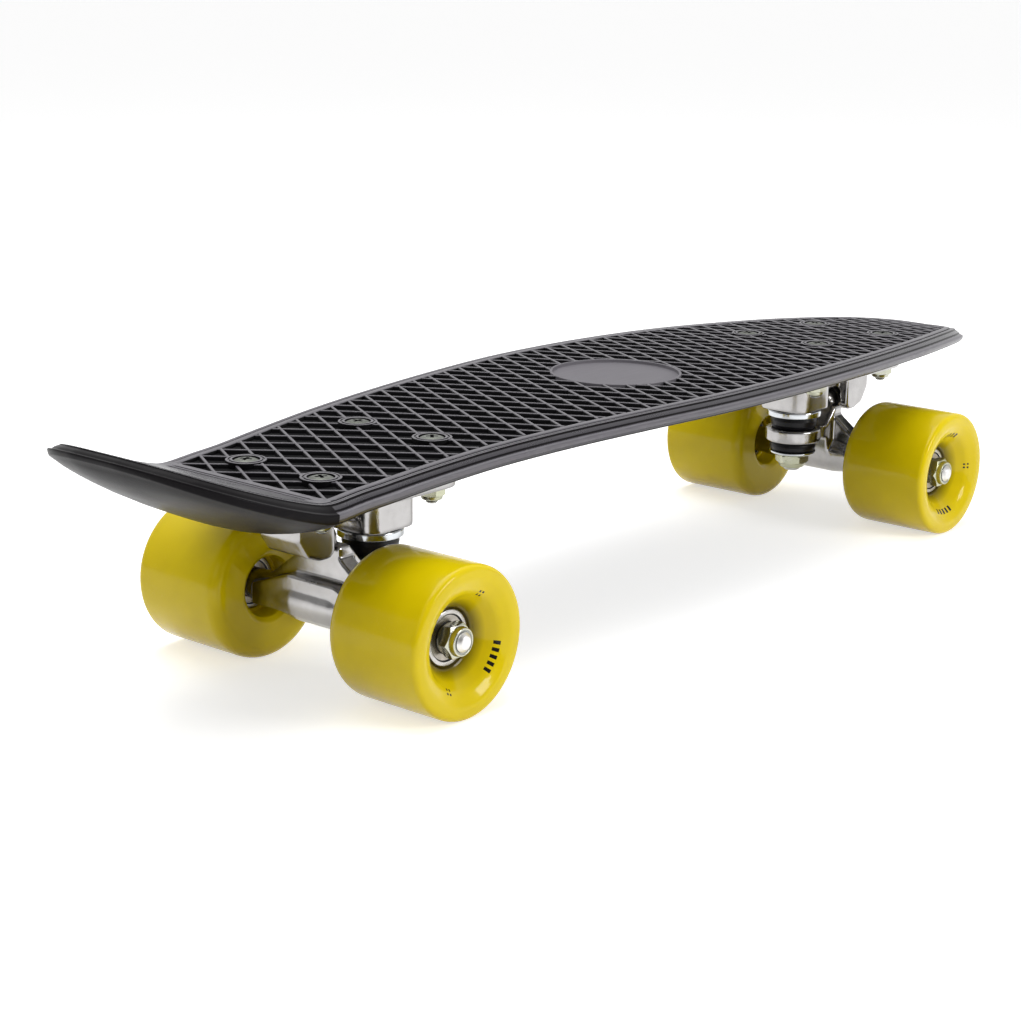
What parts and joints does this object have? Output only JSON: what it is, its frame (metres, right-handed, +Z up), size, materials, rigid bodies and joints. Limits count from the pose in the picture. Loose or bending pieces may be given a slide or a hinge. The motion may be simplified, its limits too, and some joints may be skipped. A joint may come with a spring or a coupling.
{
  "type": "cruiser skateboard",
  "caption": "Small plastic cruiser skateboard: arched waffle-topped deck with a kicked tail, cast trucks that steer on bushings, and dished wheels on ball bearings.",
  "frame": {"origin": "on the floor under the middle of the board's length and width", "axes": "+X towards the nose, +Y towards the rider's left, +Z up"},
  "size_m": [0.589, 0.152, 0.1088],
  "materials": {
    "deck_plastic": "moulded black polypropylene, semi-gloss",
    "cast_alloy": "cast and tumbled bright",
    "steel": "ground",
    "zinc": "zinc plated",
    "bright_plate": "bright plated",
    "black_rubber": "moulded",
    "yellow_urethane": "cast urethane, glossy"
  },
  "bodies": {
    "board": {"deck": "deck_plastic", "tail_baseplate": "cast_alloy", "tail_pivot_cup": "black_rubber", "tail_kingpin": "steel", "tail_kingpin_nut": "zinc", "tail_bushing_upper": "black_rubber", "tail_bushing_lower": "black_rubber", "tail_cup_washer_upper": "bright_plate", "tail_cup_washer_lower": "bright_plate", "tail_screw_outer_right": "zinc", "tail_screw_nut_outer_right": "zinc", "tail_screw_outer_left": "zinc", "tail_screw_nut_outer_left": "zinc", "tail_screw_inner_right": "zinc", "tail_screw_nut_inner_right": "zinc", "tail_screw_inner_left": "zinc", "tail_screw_nut_inner_left": "zinc", "nose_baseplate": "cast_alloy", "nose_pivot_cup": "black_rubber", "nose_kingpin": "steel", "nose_kingpin_nut": "zinc", "nose_bushing_upper": "black_rubber", "nose_bushing_lower": "black_rubber", "nose_cup_washer_upper": "bright_plate", "nose_cup_washer_lower": "bright_plate", "nose_screw_outer_right": "zinc", "nose_screw_nut_outer_right": "zinc", "nose_screw_outer_left": "zinc", "nose_screw_nut_outer_left": "zinc", "nose_screw_inner_right": "zinc", "nose_screw_nut_inner_right": "zinc", "nose_screw_inner_left": "zinc", "nose_screw_nut_inner_left": "zinc"},
    "tail_right_wheel_set": {"tail_right_wheel": "yellow_urethane", "tail_right_bearing_outer": "steel", "tail_right_bearing_inner": "steel"},
    "tail_left_wheel_set": {"tail_left_wheel": "yellow_urethane", "tail_left_bearing_outer": "steel", "tail_left_bearing_inner": "steel"},
    "tail_steering": {"tail_hanger": "cast_alloy", "tail_axle": "steel", "tail_right_bearing_spacer": "steel", "tail_right_axle_nut": "zinc", "tail_left_bearing_spacer": "steel", "tail_left_axle_nut": "zinc"},
    "nose_left_wheel_set": {"nose_left_wheel": "yellow_urethane", "nose_left_bearing_outer": "steel", "nose_left_bearing_inner": "steel"},
    "nose_right_wheel_set": {"nose_right_wheel": "yellow_urethane", "nose_right_bearing_outer": "steel", "nose_right_bearing_inner": "steel"},
    "nose_steering": {"nose_hanger": "cast_alloy", "nose_axle": "steel", "nose_left_bearing_spacer": "steel", "nose_left_axle_nut": "zinc", "nose_right_bearing_spacer": "steel", "nose_right_axle_nut": "zinc"}
  },
  "joints": [
    {"name": "tail_steer", "type": "hinge", "parent": "board", "child": "tail_steering", "pos_m": [-0.1953, 0, 0.061], "axis": [-0.9077, 0, 0.4197], "range_deg": [-12, 12], "stiffness_Nm_per_rad": 25, "deforming": ["tail_bushing_upper", "tail_bushing_lower"]},
    {"name": "nose_steer", "type": "hinge", "parent": "board", "child": "nose_steering", "pos_m": [0.1863, 0, 0.061], "axis": [0.9077, 0, 0.4197], "range_deg": [-12, 12], "stiffness_Nm_per_rad": 25, "deforming": ["nose_bushing_upper", "nose_bushing_lower"]},
    {"name": "tail_right_wheel_spin", "type": "hinge", "parent": "tail_steering", "child": "tail_right_wheel_set", "pos_m": [-0.1828, -0.053, 0.03], "axis": [0, 1, 0], "continuous": true},
    {"name": "tail_left_wheel_spin", "type": "hinge", "parent": "tail_steering", "child": "tail_left_wheel_set", "pos_m": [-0.1828, 0.053, 0.03], "axis": [0, 1, 0], "continuous": true},
    {"name": "nose_left_wheel_spin", "type": "hinge", "parent": "nose_steering", "child": "nose_left_wheel_set", "pos_m": [0.1738, 0.053, 0.03], "axis": [0, 1, 0], "continuous": true},
    {"name": "nose_right_wheel_spin", "type": "hinge", "parent": "nose_steering", "child": "nose_right_wheel_set", "pos_m": [0.1738, -0.053, 0.03], "axis": [0, 1, 0], "continuous": true}
  ]
}
